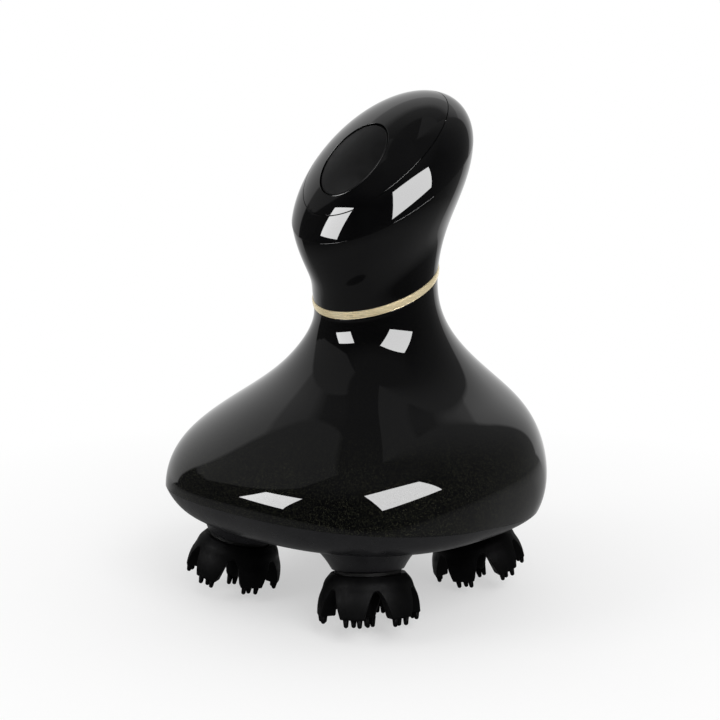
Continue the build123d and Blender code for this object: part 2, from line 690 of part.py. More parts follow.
def core_form():
    top = -COLLAR_GAP - COLLAR_THICKNESS
    hub = Pos(0, 0, top) * extrude(Circle(CORE_RADIUS), -CORE_DEPTH)
    flange_top = top - CORE_DEPTH / 2
    return hub + Pos(0, 0, flange_top) * extrude(Circle(CORE_FLANGE_RADIUS), -CORE_FLANGE_THICKNESS)


def make_claw_core():
    collar = Pos(0, 0, -COLLAR_GAP) * extrude(Circle(COLLAR_RADIUS), -COLLAR_THICKNESS)
    socket = Pos(0, 0, SPINDLE_FOOT) * extrude(Circle(SPINDLE_RADIUS), THROUGH)
    return core_form() + collar - socket


def make_spindle():
    return Pos(0, 0, SPINDLE_FOOT) * extrude(Circle(SPINDLE_RADIUS), SPINDLE_TOP - SPINDLE_FOOT)


def cone_gear(teeth, cone, pressure_angle, phase, low, high):
    """Gear whose teeth run to the shared apex; low and high are measured along its axis."""
    pitch_height = CONE_DISTANCE * cos(cone)
    levels = []
    for level in (low, high):
        share = (pitch_height - level) / pitch_height
        levels.append(Pos(0, 0, level) * gear_outline(teeth, BEVEL_MODULE * share, pressure_angle, phase))
    return loft(levels, ruled=True)


def make_claw_gear():
    """The gap that faces the centre line takes a tooth of the drive gear."""
    half = GEAR_FACE / 2
    phase = 180.0 - 180.0 / CLAW_TEETH
    wheel = cone_gear(CLAW_TEETH, CLAW_CONE, CLAW_PRESSURE_ANGLE, phase, -half, half)
    wheel = Pos(0, 0, CLAW_GEAR_HEIGHT) * wheel
    wheel += column(0, 0, CLAW_HUB_RADIUS, CLAW_HUB_BOTTOM, CLAW_GEAR_HEIGHT)
    return wheel - extrude(Circle(SPINDLE_RADIUS), SPINDLE_TOP)


def make_clip():
    return Pos(0, 0, CLIP_LEVEL) * tube(CLIP_RADIUS, SPINDLE_RADIUS, CLIP_THICKNESS)


def make_bush():
    bore = SPINDLE_RADIUS + RUNNING_FIT
    sleeve = Pos(0, 0, SEAL_DEPTH) * tube(BUSH_RADIUS, bore, BOSS_TOP - SEAL_DEPTH)
    return sleeve + Pos(0, 0, BOSS_TOP) * tube(BUSH_FLANGE_RADIUS, bore, BUSH_FLANGE)


def make_shaft_seal():
    return tube(SHAFT_SEAL_RADIUS, SPINDLE_RADIUS + RUNNING_FIT, SEAL_DEPTH)


# ---------------------------------------------------------------- gear train
def make_drive_gear():
    """Centre gear: a coned sun below that turns the claws, a spur wheel above it."""
    half = GEAR_FACE / 2
    sun = cone_gear(SUN_TEETH, SUN_CONE, CLAW_PRESSURE_ANGLE, 0.0, -half, half)
    wheel = extrude(gear_outline(WHEEL_TEETH, WHEEL_MODULE, SPUR_PRESSURE_ANGLE), WHEEL_FACE)
    gear = Pos(0, 0, SUN_LEVEL) * sun
    gear += column(0, 0, DRIVE_NECK_RADIUS, SUN_TOP, WHEEL_BOTTOM)
    gear += Pos(0, 0, WHEEL_BOTTOM) * wheel
    return gear - column(0, 0, DRIVE_PIN_RADIUS + RUNNING_FIT, SUN_BOTTOM, WHEEL_TOP)


def make_drive_pin():
    return column(0, 0, DRIVE_PIN_RADIUS, FLOOR_LEVEL - POST_ROOT, WHEEL_TOP - DRIVE_PIN_RECESS)


def make_idler_gear():
    """Double gear: a small pinion on the wheel of the drive gear, a large wheel on the motor's pinion."""
    phase = 180.0 - 180.0 / SECOND_PINION_TEETH
    pinion = gear_outline(SECOND_PINION_TEETH, WHEEL_MODULE, SPUR_PRESSURE_ANGLE, phase)
    phase = 180.0 - 180.0 / FIRST_WHEEL_TEETH
    wheel = gear_outline(FIRST_WHEEL_TEETH, FIRST_MODULE, SPUR_PRESSURE_ANGLE, phase)
    gear = Pos(0, 0, WHEEL_BOTTOM) * extrude(pinion, FIRST_WHEEL_BOTTOM - WHEEL_BOTTOM)
    gear += Pos(0, 0, FIRST_WHEEL_BOTTOM) * extrude(wheel, FIRST_WHEEL_TOP - FIRST_WHEEL_BOTTOM)
    gear -= column(0, 0, IDLER_PIN_RADIUS + RUNNING_FIT, WHEEL_BOTTOM, FIRST_WHEEL_TOP)
    return Pos(GEAR_CENTRES, 0, 0) * gear


def make_idler_pin():
    head_top = WHEEL_BOTTOM - IDLER_PLAY
    pin = column(GEAR_CENTRES, 0, IDLER_PIN_RADIUS, head_top, PLATE_TOP)
    return pin + column(GEAR_CENTRES, 0, IDLER_PIN_HEAD_RADIUS, head_top - IDLER_PIN_HEAD, head_top)


def make_gear_plate():
    """Cross-shaped plate over the gears; the motor stands on it."""
    outline = Circle(PLATE_RADIUS)
    for x, y in plate_post_places():
        reach = math.hypot(x, y)
        arm = Pos(reach / 2, 0) * SlotCenterToCenter(reach, PLATE_ARM_WIDTH)
        outline += Rot(Z=math.degrees(math.atan2(y, x))) * arm
    plate = Pos(0, 0, PLATE_BOTTOM) * extrude(outline, PLATE_THICKNESS)
    for x, y in plate_post_places():
        plate -= column(x, y, SCREW_RADIUS, PLATE_BOTTOM, PLATE_TOP)
    plate -= column(GEAR_CENTRES, 0, IDLER_PIN_RADIUS, PLATE_BOTTOM, PLATE_TOP)
    plate -= column(0, 0, MOTOR_BOSS_RADIUS, PLATE_BOTTOM, PLATE_TOP)
    for y in (-MOTOR_SCREW_OFFSET, MOTOR_SCREW_OFFSET):
        plate -= column(0, y, SMALL_SCREW_RADIUS, PLATE_BOTTOM, PLATE_TOP)
    return plate


def make_gear_plate_screws():
    screws = []
    for x, y in plate_post_places():
        shank = column(x, y, SCREW_RADIUS, PLATE_BOTTOM - SCREW_BITE, PLATE_TOP)
        screws.append(shank + column(x, y, SCREW_HEAD_RADIUS, PLATE_TOP, PLATE_TOP + SCREW_HEAD))
    return group(screws)


def make_housing_screws():
    screws = []
    for x, y in housing_screw_places():
        shank = column(x, y, SCREW_RADIUS, HOUSING_SCREW_LEVEL, HOUSING_JOIN_LEVEL + SCREW_BITE)
        head_bottom = HOUSING_SCREW_LEVEL - SCREW_HEAD
        screws.append(shank + column(x, y, SCREW_HEAD_RADIUS, head_bottom, HOUSING_SCREW_LEVEL))
    return group(screws)


def make_motor():
    can_top = PLATE_TOP + MOTOR_LENGTH
    can = column(0, 0, MOTOR_RADIUS, PLATE_TOP, can_top)
    can += column(0, 0, MOTOR_BOSS_RADIUS, PLATE_BOTTOM + MOTOR_BOSS_RECESS, PLATE_TOP)
    can += column(0, 0, MOTOR_CAP_RADIUS, can_top, can_top + MOTOR_CAP_HEIGHT)
    bore_top = MOTOR_SHAFT_TOP + MOTOR_SHAFT_END_GAP
    can -= column(0, 0, MOTOR_SHAFT_RADIUS + RUNNING_FIT, PLATE_BOTTOM, bore_top)
    for y in (-MOTOR_SCREW_OFFSET, MOTOR_SCREW_OFFSET):
        can -= column(0, y, SMALL_SCREW_RADIUS, PLATE_TOP, PLATE_TOP + MOTOR_SCREW_BITE)
    return can


def make_motor_screws():
    screws = []
    for y in (-MOTOR_SCREW_OFFSET, MOTOR_SCREW_OFFSET):
        screws.append(Pos(0, y, PLATE_BOTTOM) * small_screw(PLATE_THICKNESS + MOTOR_SCREW_BITE))
    return group(screws)


def make_motor_shaft():
    return column(0, 0, MOTOR_SHAFT_RADIUS, MOTOR_SHAFT_FOOT, MOTOR_SHAFT_TOP)


def make_motor_pinion():
    outline = gear_outline(MOTOR_PINION_TEETH, FIRST_MODULE, SPUR_PRESSURE_ANGLE)
    outline -= Circle(MOTOR_SHAFT_RADIUS)
    return Pos(0, 0, FIRST_WHEEL_BOTTOM - MOTOR_PINION_DROP) * extrude(outline, MOTOR_PINION_FACE)


# ---------------------------------------------------------------- battery and charging
def make_battery_cell():
    can_top = CELL_BASE + CELL_LENGTH - CELL_TERMINAL
    can = column(0, CELL_Y, CELL_RADIUS, CELL_BASE, can_top)
    return can + column(0, CELL_Y, CELL_TERMINAL_RADIUS, can_top, CELL_BASE + CELL_LENGTH)


def make_battery_cradle():
    """Open tube round the cell, on a shelf that fills the throat of the housing."""
    shelf_top = CRADLE_SHELF_LEVEL + CRADLE_SHELF_THICKNESS
    slab = column(0, CELL_Y, THROUGH, CRADLE_SHELF_LEVEL, shelf_top)
    cradle = column(0, CELL_Y, CELL_RADIUS + CRADLE_WALL, CELL_BASE - CRADLE_WALL, CRADLE_TOP)
    cradle += slab & BODY_INSIDE
    cradle -= column(0, CELL_Y, CELL_RADIUS, CELL_BASE, CRADLE_TOP)
    window_size = (CELL_RADIUS, CRADLE_WINDOW_DEPTH, CRADLE_TOP)
    window = Box(*window_size, align=(Align.CENTER, Align.MAX, Align.MIN))
    return cradle - Pos(0, CELL_Y, CELL_BASE) * window


def make_charge_socket():
    outer = stadium_prism(SOCKET_WIDTH / 2, SOCKET_HEIGHT / 2, SOCKET_MOUTH_Y - SOCKET_DEPTH, SOCKET_DEPTH)
    inner_half = (SOCKET_WIDTH / 2 - SOCKET_WALL, SOCKET_HEIGHT / 2 - SOCKET_WALL)
    hollow = stadium_prism(*inner_half, SOCKET_MOUTH_Y - SOCKET_DEPTH + SOCKET_BACK, SOCKET_DEPTH)
    tongue_size = (SOCKET_TONGUE_WIDTH, SOCKET_TONGUE, SOCKET_TONGUE_HEIGHT)
    tongue = Box(*tongue_size, align=(Align.CENTER, Align.MIN, Align.CENTER))
    return outer - hollow + Pos(0, SOCKET_MOUTH_Y - SOCKET_DEPTH, SOCKET_LEVEL) * tongue


def make_charge_board():
    size = (CHARGE_BOARD_WIDTH, CHARGE_BOARD_DEPTH, CHARGE_BOARD_THICKNESS)
    board = Box(*size, align=(Align.CENTER, Align.MAX, Align.MIN))
    return Pos(0, SOCKET_MOUTH_Y - CHARGE_BOARD_SETBACK, CHARGE_BOARD_BOTTOM) * board


def make_port_plug():
    head = plug_recess(0.0)
    half = (SOCKET_WIDTH / 2 - SOCKET_WALL - PLUG_GAP, SOCKET_HEIGHT / 2 - SOCKET_WALL - PLUG_GAP)
    tongue = stadium_prism(*half, SOCKET_MOUTH_Y - PLUG_TONGUE, THROUGH)
    return head + (tongue & body_form(BODY_STATIONS, PLUG_HEAD / 2))


def group(solids):
    return Compound([solid for part in solids for solid in part.solids()])


PARTS = {
    "lower_housing": make_lower_housing(),
    "upper_housing": make_upper_housing(),
    "housing_seal": make_housing_seal(),
    "neck_ring": make_neck_ring(),
    "handle_housing": make_handle_housing(),
    "head_cover": make_head_cover(),
    "top_panel": make_top_panel(),
    "button_cap": make_button_cap(),
    "switch_plunger": make_switch_plunger(),
    "button_switch": make_button_switch(),
    "control_board": make_control_board(),
    "board_screws": make_board_screws(),
    "drive_gear": make_drive_gear(),
    "drive_pin": make_drive_pin(),
    "idler_gear": make_idler_gear(),
    "idler_pin": make_idler_pin(),
    "gear_plate": make_gear_plate(),
    "gear_plate_screws": make_gear_plate_screws(),
    "housing_screws": make_housing_screws(),
    "motor": make_motor(),
    "motor_screws": make_motor_screws(),
    "motor_shaft": make_motor_shaft(),
    "motor_pinion": make_motor_pinion(),
    "battery_cell": make_battery_cell(),
    "battery_cradle": make_battery_cradle(),
    "charge_socket": make_charge_socket(),
    "charge_board": make_charge_board(),
    "port_plug": make_port_plug(),
}

PARTS["spindle_bushes"] = group([place * make_bush() for place in CLAW_PLACES])
PARTS["spindle_seals"] = group([place * make_shaft_seal() for place in CLAW_PLACES])
for name, angle, place in zip(CLAW_NAMES, CLAW_ANGLES, CLAW_PLACES):
    PARTS[name + "_claw"] = place * make_claw(FINGER_PHASE - angle)
    PARTS[name + "_claw_core"] = place * make_claw_core()
    PARTS[name + "_spindle"] = place * make_spindle()
    PARTS[name + "_claw_gear"] = place * make_claw_gear()
    PARTS[name + "_clip"] = place * make_clip()

for name, part in PARTS.items():
    export_step(part, f"parts/{name}.step")
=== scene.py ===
import json
import math

import bmesh
import bpy
import numpy as np
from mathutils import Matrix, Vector


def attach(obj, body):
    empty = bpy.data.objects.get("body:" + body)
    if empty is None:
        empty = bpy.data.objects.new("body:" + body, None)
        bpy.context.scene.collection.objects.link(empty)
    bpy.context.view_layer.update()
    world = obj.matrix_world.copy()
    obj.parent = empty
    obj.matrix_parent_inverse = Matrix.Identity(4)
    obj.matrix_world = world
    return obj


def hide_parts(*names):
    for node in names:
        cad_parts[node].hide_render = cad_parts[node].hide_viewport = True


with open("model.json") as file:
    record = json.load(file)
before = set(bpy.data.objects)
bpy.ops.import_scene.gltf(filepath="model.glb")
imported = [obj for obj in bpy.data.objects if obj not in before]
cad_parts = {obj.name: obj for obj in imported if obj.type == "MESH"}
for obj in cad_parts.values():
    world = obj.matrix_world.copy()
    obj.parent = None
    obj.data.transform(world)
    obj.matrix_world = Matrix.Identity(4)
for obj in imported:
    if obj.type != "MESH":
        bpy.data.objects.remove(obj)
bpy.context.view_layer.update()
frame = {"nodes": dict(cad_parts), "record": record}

MM = 0.001
WHITE = (1.0, 1.0, 1.0, 1.0)


def add_object(name, data):
    """A new object in the scene for a mesh, a lamp or a camera."""
    made = bpy.data.objects.new(name, data)
    bpy.context.scene.collection.objects.link(made)
    return made


def aim(holder, direction):
    """Turns a lamp or a camera so that it looks along a direction."""
    holder.rotation_mode = "QUATERNION"
    holder.rotation_quaternion = Vector(direction).to_track_quat("-Z", "Y")


# ---------------------------------------------------------------- camera
# Directions round the object are given as the camera sees them: azimuth 0 points from the
# object to the camera, positive to the camera's right, and elevation is above the horizon.
CAMERA_AZIMUTH = 39.91
CAMERA_ELEVATION = 9.59
CAMERA_DISTANCE = 367.86 * MM
CAMERA_TARGET = np.array([1.77, -0.65, 70.18]) * MM
CAMERA_SENSOR = 36.0
CAMERA_LENS = 61.6
CAMERA_CLIP = (0.01, 50.0)


def towards(azimuth, elevation):
    """Unit vector for a direction given in degrees, azimuth counted from the camera's side."""
    a = math.radians(CAMERA_AZIMUTH) + math.radians(azimuth)
    e = math.radians(elevation)
    return np.array([math.sin(a) * math.cos(e), -math.cos(a) * math.cos(e), math.sin(e)])


camera = add_object("camera", bpy.data.cameras.new("camera"))
bpy.context.scene.camera = camera
to_camera = towards(0.0, CAMERA_ELEVATION)
camera.location = Vector(CAMERA_TARGET + to_camera * CAMERA_DISTANCE)
aim(camera, -to_camera)
camera.data.sensor_width = CAMERA_SENSOR
camera.data.lens = CAMERA_LENS
camera.data.clip_start, camera.data.clip_end = CAMERA_CLIP
bpy.context.scene.view_settings.view_transform = "Standard"

# ---------------------------------------------------------------- the forms, in millimetres
# The outlines that the housing's surface runs through, from the rim up to the parting line:
# front y, front z, back y, back z, half width, squareness.
BODY = [
    (-53.5, 34.5, 48.5, 24.0, 54.0, 2.45),
    (-53.4, 38.5, 53.5, 32.5, 55.2, 2.34),
    (-47.3, 45.9, 51.0, 50.0, 52.8, 2.28),
    (-32.2, 58.0, 47.0, 62.0, 39.5, 2.14),
    (-16.1, 70.4, 33.0, 77.5, 24.5, 2.0),
    (-9.2, 80.0, 27.0, 90.5, 19.6, 2.0),
    (-9.6, 85.5, 27.0, 101.5, 19.4, 2.0),
    (-12.0, 92.2, 34.6, 119.2, 20.5, 2.0),
    (-15.7, 101.0, 40.8, 136.2, 25.0, 2.0),
]
BODY_ROWS = 500
AROUND = 288
SHELL = 2.0
THIN_SHELL = 1.5
INNER_FACE_STEP = 5
BEYOND_THE_ENDS = 1000.0

UPPER_ROWS = 150
UPPER_EDGE = 0.12
HANDLE_ROWS = 120
HANDLE_EDGE = 0.1

# The ring sits on the seventh outline and stands out a little, most of all halfway up.
RING_STATION = BODY[6]
RING_HEIGHT = 2.3
RING_GAP = 0.05
RING_ROWS = 17
RING_PROUD = 0.12
RING_SWELL = 0.22
RING_EDGE = 0.2

# The head is a tilted ellipsoid; the parting line, the panel and the button lie on it.
HEAD_CENTRE = np.array([0.0, 11.9, 122.5])
HEAD_TILT = 43.5
HEAD_HALF = np.array([26.2, 36.9, 15.5])
PARTING_CENTRE = np.array([0.0, 11.7, 124.0])
PARTING_TILT = 32.8
COVER_ROWS = 70
COVER_EDGE = 0.06
PANEL_CENTRE = np.array([0.0, 8.8, 132.2])
PANEL_TILT = 37.0
PANEL_HALF = (20.3, 29.6)
PANEL_GAP = 0.08
PANEL_ROWS = 60
PANEL_EDGE = 0.1
BUTTON_CENTRE = np.array([0.0, -1.3, 129.4])
BUTTON_TILT = 48.5
BUTTON_HALF = (10.0, 13.9)
BUTTON_GAP = 0.2
BUTTON_SINK = 0.25
BUTTON_ROWS = 40
BUTTON_EDGE = 0.35
BUTTON_WALL = 1.6
CROWN_LIFT = 5.0

# The seat of the charging plug, cut through the back of the bell: its level, half width and half
# height, and how far the cutter reaches along Y.
PLUG_LEVEL = 47.0
PLUG_SEAT = (7.65, 4.15)
PLUG_REACH = (40.0, 60.0)
PLUG_AROUND = 24
CRISP = math.radians(35)


def tilt_axes(degrees):
    """Rows are the x, y and z axes of a frame that is tilted back about X."""
    c, s = math.cos(math.radians(degrees)), math.sin(math.radians(degrees))
    return np.array([[1, 0, 0], [0, c, s], [0, -s, c]])


HEAD_AXES = tilt_axes(HEAD_TILT)
BUTTON_AXIS = tilt_axes(BUTTON_TILT)[2]
ANGLES = np.linspace(0, 2 * math.pi, AROUND, endpoint=False)


def on_head(direction, inset=0.0):
    """Points of the head's ellipsoid for unit directions in its own stretched frame."""
    return HEAD_CENTRE + (direction * (HEAD_HALF - inset)) @ HEAD_AXES


def head_direction(points, inset=0.0):
    """Unit directions in the head's stretched frame from its centre to the points."""
    local = ((points - HEAD_CENTRE) @ HEAD_AXES.T) / (HEAD_HALF - inset)
    return local / np.linalg.norm(local, axis=-1, keepdims=True)


def parting_station():
    """The outline that the parting plane cuts from the head, as one more body station."""
    along = tilt_axes(PARTING_TILT)[1]
    start = (PARTING_CENTRE - HEAD_CENTRE) @ HEAD_AXES.T / HEAD_HALF
    step = along @ HEAD_AXES.T / HEAD_HALF
    a, b, c = step @ step, start @ step, start @ start - 1
    root = math.sqrt(b * b - a * c)
    front = PARTING_CENTRE + along * (-b - root) / a
    rear = PARTING_CENTRE + along * (-b + root) / a
    middle = start - step * (b / a)
    half = HEAD_HALF[0] * math.sqrt(1 - middle @ middle)
    return (front[1], front[2], rear[1], rear[2], half, 2.0)


def through(rows):
    """Smooth curve through the stations, spaced by how far their outlines travel."""
    rows = np.array(rows, float)
    travel = np.sqrt(((rows[1:] - rows[:-1])[:, :5] ** 2).sum(1))
    t = np.concatenate([[0], np.cumsum(travel)])
    n = len(rows)
    h = np.diff(t)
    matrix = np.zeros((n, n))
    right = np.zeros((n, rows.shape[1]))
    matrix[0, :3] = h[1], -(h[0] + h[1]), h[0]
    matrix[-1, -3:] = h[-1], -(h[-2] + h[-1]), h[-2]
    for i in range(1, n - 1):
        matrix[i, i - 1 : i + 2] = h[i - 1], 2 * (h[i - 1] + h[i]), h[i]
        right[i] = 6 * ((rows[i + 1] - rows[i]) / h[i] - (rows[i] - rows[i - 1]) / h[i - 1])
    bend = np.linalg.solve(matrix, right)

    def at(x):
        x = np.clip(x, 0, t[-1])
        i = int(np.clip(np.searchsorted(t, x, side="right") - 1, 0, n - 2))
        a, b = (t[i + 1] - x) / h[i], (x - t[i]) / h[i]
        curve = ((a**3 - a) * bend[i] + (b**3 - b) * bend[i + 1]) * h[i] ** 2 / 6
        return a * rows[i] + b * rows[i + 1] + curve

    return at, t[-1]


def outline(station):
    """The points of one station's rounded outline."""
    front_y, front_z, back_y, back_z, half, square = station
    c, s = np.cos(ANGLES), np.sin(ANGLES)
    reach = (np.abs(c) ** square + np.abs(s) ** square) ** (-1.0 / square)
    k = s * reach
    y = (front_y + back_y) / 2 + k * (back_y - front_y) / 2
    z = (front_z + back_z) / 2 + k * (back_z - front_z) / 2
    return np.stack([half * c * reach, y, z], -1)


def body_rows():
    """The housing's whole surface from the rim to the parting line."""
    at, end = through(BODY + [parting_station()])
    return np.stack([outline(at(x)) for x in np.linspace(0, end, BODY_ROWS)])


def ring_frame():
    """The centre and the normal of the plane on which the ring ends at its top."""
    front_y, front_z, back_y, back_z = RING_STATION[:4]
    tilt = math.degrees(math.atan2(back_z - front_z, back_y - front_y))
    centre = np.array([0, (front_y + back_y) / 2, (front_z + back_z) / 2])
    return centre, tilt_axes(tilt)[2]


def cut_rows(rows, low, high, count):
    """The part of a body between two heights along the ring's normal, as evenly spaced rows."""
    centre, normal = ring_frame()
    height = (rows - centre) @ normal
    out = np.zeros((count, rows.shape[1], 3))
    for j in range(rows.shape[1]):
        line, h = rows[:, j], height[:, j]
        places = np.interp(np.array([low, high]), h, np.arange(len(line)))
        start = 0.0 if low < h[0] else places[0]
        end = len(line) - 1.0 if high > h[-1] else places[1]
        wanted = np.linspace(start, end, count)
        for axis in range(3):
            out[:, j, axis] = np.interp(wanted, np.arange(len(line)), line[:, axis])
    return out


def normals_of(rows):
    """Outward unit normals of a surface given as rows."""
    around = np.roll(rows, -1, 1) - np.roll(rows, 1, 1)
    up = np.gradient(rows, axis=0)
    n = np.cross(around, up)
    return n / np.linalg.norm(n, axis=-1, keepdims=True)


def rounded_end(edge, before, normal, radius, depth, steps=4):
    """Rows that turn an edge inwards with a small radius and carry it on into the shell."""
    out = edge - before
    out = out - (out * normal).sum(-1, keepdims=True) * normal
    out /= np.linalg.norm(out, axis=-1, keepdims=True)
    start = edge - out * radius
    rows = []
    for i in range(1, steps + 1):
        a = math.pi / 2 * i / steps
        rows.append(start + out * radius * math.sin(a) - normal * radius * (1 - math.cos(a)))
    rows.append(rows[-1] - normal * depth)
    return start, rows


def finished_shell(rows, radius, depth=SHELL, last_wall=None):
    """Rows with both edges rounded and turned in, the last one along last_wall if it is given."""
    normal = normals_of(rows)
    last_wall = normal[-1] if last_wall is None else last_wall
    low_start, low = rounded_end(rows[0], rows[1], normal[0], radius, depth)
    high_start, high = rounded_end(rows[-1], rows[-2], last_wall, radius, depth)
    rows = rows.copy()
    rows[0], rows[-1] = low_start, high_start
    return np.concatenate([np.array(low[::-1]), rows, np.array(high)])


def closed_shell(rows, radius):
    """A finished shell with a coarser inner face, so that an opening can be cut through it."""
    inside = rows - normals_of(rows) * SHELL
    inside = inside[INNER_FACE_STEP:-INNER_FACE_STEP:INNER_FACE_STEP]
    return np.concatenate([finished_shell(rows, radius), inside[::-1]])


def grid_faces(count, around, closed=False, start=0):
    """Quads between rows that each go once round; a closed grid joins its last row to its first."""
    faces = []
    for i in range(count if closed else count - 1):
        here, after = start + i * around, start + (i + 1) % count * around
        for j in range(around):
            k = (j + 1) % around
            faces.append((here + j, here + k, after + k, after + j))
    return faces


def solid_faces(count, around, start=0):
    """The quads of a grid of rows and the two flat ends that close it."""
    last = start + (count - 1) * around
    first_end = tuple(reversed(range(start, start + around)))
    return grid_faces(count, around, start=start) + [first_end, tuple(range(last, last + around))]


def add_mesh(name, points, faces, smooth=True):
    """A new mesh object from points in metres."""
    mesh = bpy.data.meshes.new(name)
    mesh.from_pydata([list(point) for point in points], [], faces)
    mesh.polygons.foreach_set("use_smooth", [smooth] * len(faces))
    mesh.update()
    return add_object(name, mesh)


def mesh_from_rows(name, rows, cap_end=False, closed=False):
    """A piece from rows of points in millimetres that each go once round."""
    count, around = rows.shape[:2]
    points = list(rows.reshape(-1, 3) * MM)
    faces = grid_faces(count, around, closed)
    if cap_end:
        points.append(rows[-1].mean(0) * MM)
        last = (count - 1) * around
        for j in range(around):
            faces.append((last + j, last + (j + 1) % around, len(points) - 1))
    return add_mesh(name, points, faces)


def stadium(half_width, half_height, level, near, far):
    """A prism along Y with round ends, all measures in millimetres."""
    turn = np.linspace(-math.pi / 2, math.pi / 2, PLUG_AROUND)
    straight = half_width - half_height
    right = np.stack([straight + half_height * np.cos(turn), half_height * np.sin(turn)], -1)
    edge = np.concatenate([right, -right])
    count = len(edge)
    rows = [np.stack([edge[:, 0], np.full(count, y), edge[:, 1] + level], -1) for y in (far, near)]
    return add_mesh("stadium", np.concatenate(rows) * MM, solid_faces(2, count), smooth=False)


def cut_opening(piece, cutter):
    """Takes the cutter out of the piece and leaves crisp edges round the hole."""
    modifier = piece.modifiers.new("opening", "BOOLEAN")
    modifier.operation = "DIFFERENCE"
    modifier.solver = "EXACT"
    modifier.object = cutter
    bpy.context.view_layer.update()
    evaluated = piece.evaluated_get(bpy.context.evaluated_depsgraph_get())
    shaped = bpy.data.meshes.new_from_object(evaluated)
    piece.modifiers.clear()
    bpy.data.objects.remove(cutter)
    form = bmesh.new()
    form.from_mesh(shaped)
    for edge in form.edges:
        edge.smooth = edge.calc_face_angle(0.0) < CRISP
    for face in form.faces:
        face.smooth = True
    form.to_mesh(shaped)
    form.free()
    piece.data = shaped
    return piece


def plug_outline(centre, tilt, half, inset=0.0, grow=0.0):
    """Where an oval column across the head meets its upper surface."""
    axes = tilt_axes(tilt)
    across, along = half[0] + grow, half[1] + grow
    flat = np.stack([across * np.cos(ANGLES), along * np.sin(ANGLES), 0 * ANGLES], -1)
    start = (centre + flat @ axes - HEAD_CENTRE) @ HEAD_AXES.T / (HEAD_HALF - inset)
    step = axes[2] @ HEAD_AXES.T / (HEAD_HALF - inset)
    a, b, c = step @ step, start @ step, (start * start).sum(-1) - 1
    reach = (-b + np.sqrt(b * b - a * c)) / a
    return centre + flat @ axes + reach[:, None] * axes[2]


def head_patch(outer, inner, count, inset=0.0):
    """Rows on the ellipsoid from an outer outline to an inner one."""
    a, b = head_direction(outer, inset), head_direction(inner, inset)
    share = np.linspace(0, 1, count)[:, None, None]
    mixed = a * (1 - share) + b * share
    mixed /= np.linalg.norm(mixed, axis=-1, keepdims=True)
    return on_head(mixed, inset)


# ---------------------------------------------------------------- materials
class Nodes:
    """Short ways to add nodes to a material or a world and to link them."""

    def __init__(self, owner, cleared=False):
        owner.use_nodes = True
        self.tree = owner.node_tree
        if cleared:
            self.tree.nodes.clear()

    def add(self, kind, inputs=None, **settings):
        """A new node with its settings, and inputs that are values or other nodes' outputs."""
        node = self.tree.nodes.new(kind)
        for key, value in settings.items():
            setattr(node, key, value)
        for key, value in (inputs or {}).items():
            if isinstance(value, bpy.types.NodeSocket):
                self.tree.links.new(value, node.inputs[key])
            else:
                node.inputs[key].default_value = value
        return node

    def link(self, a, b):
        self.tree.links.new(a, b)

    def place(self, stretch=(1.0, 1.0, 1.0)):
        """The piece's own coordinates, in metres times the stretch."""
        where = self.add("ShaderNodeTexCoord").outputs["Object"]
        return self.add("ShaderNodeMapping", {"Vector": where, "Scale": stretch}).outputs["Vector"]

    def noise(self, scale, detail, stretch=(1.0, 1.0, 1.0)):
        inputs = {"Vector": self.place(stretch), "Scale": scale, "Detail": detail}
        return self.add("ShaderNodeTexNoise", inputs).outputs["Fac"]

    def ramp(self, value, low, high, low_colour, high_colour):
        """Runs from one colour to another as a value goes from low to high."""
        made = self.add("ShaderNodeValToRGB", {"Fac": value})
        first, last = made.color_ramp.elements
        first.position, first.color = low, (*low_colour, 1.0)
        last.position, last.color = high, (*high_colour, 1.0)
        return made.outputs["Color"]

    def between(self, value, low, high, start=0.0, end=1.0):
        """Goes from low to high as a value goes from start to end."""
        inputs = {"Value": value, "From Min": start, "From Max": end, "To Min": low, "To Max": high}
        return self.add("ShaderNodeMapRange", inputs).outputs["Result"]

    def maths(self, operation, a, b):
        return self.add("ShaderNodeMath", {0: a, 1: b}, operation=operation).outputs[0]

    def bump(self, height, strength, distance):
        inputs = {"Height": height, "Strength": strength, "Distance": distance}
        return self.add("ShaderNodeBump", inputs).outputs["Normal"]


def new_look(name, **values):
    """A principled material with some inputs set, its nodes, and its shader's inputs to link to."""
    material = bpy.data.materials.new(name)
    n = Nodes(material)
    inputs = n.tree.nodes["Principled BSDF"].inputs
    for key, value in values.items():
        inputs[key.replace("_", " ")].default_value = value
    return material, n, inputs


def lacquer(name):
    """The clear coat that both gloss blacks have, with the faint waviness of real gloss plastic."""
    material, n, inputs = new_look(
        name, IOR=1.5, Coat_Weight=1.0, Coat_IOR=1.5, Coat_Roughness=0.015, Specular_IOR_Level=0.0
    )
    n.link(n.bump(n.noise(120.0, 2.0), 0.02, 0.0002), inputs["Coat Normal"])
    return material, n, inputs


def gloss_black():
    """Piano-black lacquer over a base that varies a little."""
    material, n, inputs = lacquer("gloss_black")
    tint = n.ramp(n.noise(90.0, 4.0), 0.35, 0.7, (0.0012, 0.0012, 0.0014), (0.0024, 0.0024, 0.0026))
    n.link(tint, inputs["Base Color"])
    n.link(n.between(n.noise(60.0, 5.0), 0.22, 0.34, 0.35, 0.65), inputs["Roughness"])
    return material


